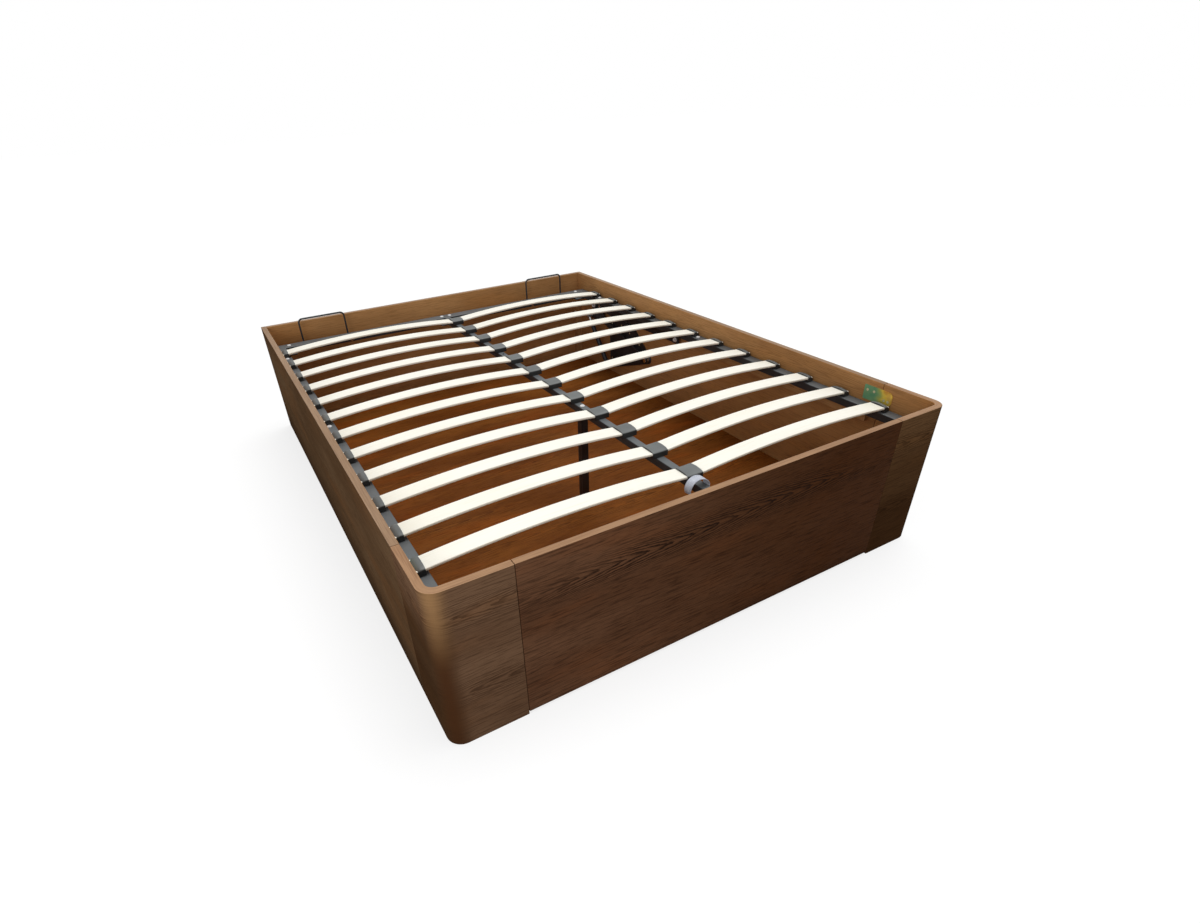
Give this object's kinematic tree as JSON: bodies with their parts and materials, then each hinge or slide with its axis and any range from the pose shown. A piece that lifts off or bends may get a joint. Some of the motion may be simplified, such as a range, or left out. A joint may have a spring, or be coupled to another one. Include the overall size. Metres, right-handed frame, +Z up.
{
  "type": "tatami platform bed",
  "caption": "Low storage bed of veneered panels with bent foot corners; a hinged steel frame of bowed slats lifts on arms and gas struts over the storage space.",
  "frame": {"origin": "on the floor, under the middle of the box", "axes": "+Z up, +Y towards the head end, -Y towards the foot end, +X towards the right side seen from the foot"},
  "size_m": [1.56, 2.04, 0.472],
  "materials": {
    "walnut_veneer": "satin",
    "softwood": "matte",
    "floor_wood": "satin",
    "slat_wood": "satin",
    "grey_paint": "satin",
    "black_paint": "satin",
    "bright_steel": "polished",
    "yellow_zinc": "satin",
    "black_plastic": "matte",
    "webbing": "matte",
    "felt": "matte"
  },
  "bodies": {
    "base": {"side_panel_left": "walnut_veneer", "side_panel_right": "walnut_veneer", "head_panel": "walnut_veneer", "foot_panel": "walnut_veneer", "foot_corner_left": "walnut_veneer", "foot_corner_right": "walnut_veneer", "joint_plates": "yellow_zinc", "wood_screws": "yellow_zinc", "head_corner_posts": "softwood", "frame_ledges": "softwood", "ledge_pads": "felt", "floor_board_head": "floor_wood", "floor_board_middle": "floor_wood", "floor_board_foot": "floor_wood", "floor_battens": "softwood", "hinge_base_left": "black_paint", "hinge_base_right": "black_paint", "base_pivot_pins": "bright_steel"},
    "rear_arms": {"rear_arm_left": "black_paint", "rear_arm_right": "black_paint"},
    "lift_frame": {"rail_left_head": "grey_paint", "rail_left_foot": "grey_paint", "rail_right_head": "grey_paint", "rail_right_foot": "grey_paint", "rail_sleeves": "grey_paint", "head_tube": "grey_paint", "foot_tube": "grey_paint", "centre_spine": "grey_paint", "corner_tabs": "grey_paint", "tube_end_caps": "black_plastic", "centre_leg": "black_paint", "leg_foot": "black_plastic", "slat_holders_side": "black_plastic", "slat_holders_centre": "black_plastic", "slat_row_1": "slat_wood", "slat_row_2": "slat_wood", "slat_row_3": "slat_wood", "slat_row_4": "slat_wood", "slat_row_5": "slat_wood", "slat_row_6": "slat_wood", "slat_row_7": "slat_wood", "slat_row_8": "slat_wood", "slat_row_9": "slat_wood", "slat_row_10": "slat_wood", "slat_row_11": "slat_wood", "slat_row_12": "slat_wood", "frame_bolts": "bright_steel", "retainer_left": "black_paint", "retainer_right": "black_paint", "retainer_nuts": "bright_steel", "pull_strap": "webbing", "lift_plate_left": "black_paint", "lift_plate_right": "black_paint", "lift_pivot_pins": "bright_steel"},
    "front_arms": {"front_arm_left": "black_paint", "front_arm_right": "black_paint"},
    "strut_cylinders": {"strut_cylinder_left": "black_paint", "strut_cylinder_right": "black_paint"},
    "strut_rods": {"strut_rod_left": "bright_steel", "strut_rod_right": "bright_steel"}
  },
  "joints": [
    {"name": "arm_swing", "type": "hinge", "parent": "base", "child": "rear_arms", "pos_m": [0, 0.506, 0.286], "axis": [1, 0, 0], "range_deg": [0, 62]},
    {"name": "frame_tilt", "type": "hinge", "parent": "rear_arms", "child": "lift_frame", "pos_m": [0, 0.77, 0.332], "axis": [-1, 0, 0], "range_deg": [0, 97.01]},
    {"name": "front_arm_swing", "type": "hinge", "parent": "base", "child": "front_arms", "pos_m": [0, 0.368, 0.176], "axis": [1, 0, 0], "range_deg": [0, 50.3]},
    {"name": "strut_swing", "type": "hinge", "parent": "base", "child": "strut_cylinders", "pos_m": [0, 0.664, 0.072], "axis": [1, 0, 0], "range_deg": [0, 48]},
    {"name": "strut_extend", "type": "slide", "parent": "strut_cylinders", "child": "strut_rods", "axis": [0, 0.6402, 0.7682], "range_m": [0, 0.1256]}
  ],
  "couplings": [
    {"joint": "frame_tilt", "follows": "arm_swing", "ratio": 1.5645},
    {"joint": "front_arm_swing", "follows": "arm_swing", "ratio": 0.8102},
    {"joint": "strut_swing", "follows": "arm_swing", "ratio": 0.7731},
    {"joint": "strut_extend", "follows": "arm_swing", "m_per_rad": 0.11588}
  ]
}
